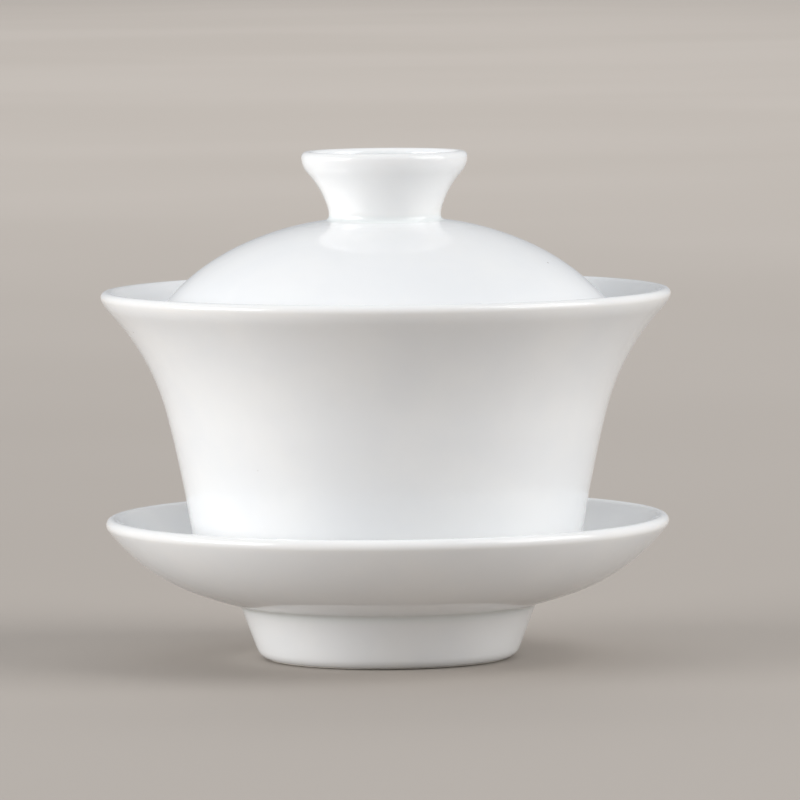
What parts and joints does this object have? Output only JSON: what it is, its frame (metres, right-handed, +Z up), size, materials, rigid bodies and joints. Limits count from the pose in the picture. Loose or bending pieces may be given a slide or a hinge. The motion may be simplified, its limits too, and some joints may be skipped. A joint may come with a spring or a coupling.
{
  "type": "gaiwan",
  "caption": "Lidded tea bowl with a flared rim, standing in the well of a footed saucer, under a domed lid with a hollow flared knob; white glazed porcelain.",
  "frame": {"origin": "centre of the flat ring that the saucer stands on, at table level", "axes": "+Z up along the common axis of saucer, bowl and lid; X and Y are level and the object is the same all round"},
  "size_m": [0.1028, 0.1028, 0.0916],
  "materials": {
    "porcelain": "clear gloss glaze over cool white porcelain, with a few tiny iron specks",
    "biscuit": "unglazed fired porcelain where a piece stood in the kiln: matt, fine-grained, slightly warm"
  },
  "bodies": {
    "saucer": {"saucer": "porcelain"},
    "bowl": {"bowl": "porcelain"},
    "lid": {"lid": "porcelain"}
  },
  "joints": [
    {"name": "bowl_lift", "type": "slide", "parent": "saucer", "child": "bowl", "axis": [0, 0, 1], "range_m": [0, 0.05]},
    {"name": "lid_lift", "type": "slide", "parent": "bowl", "child": "lid", "axis": [0, 0, 1], "range_m": [0, 0.05]}
  ]
}
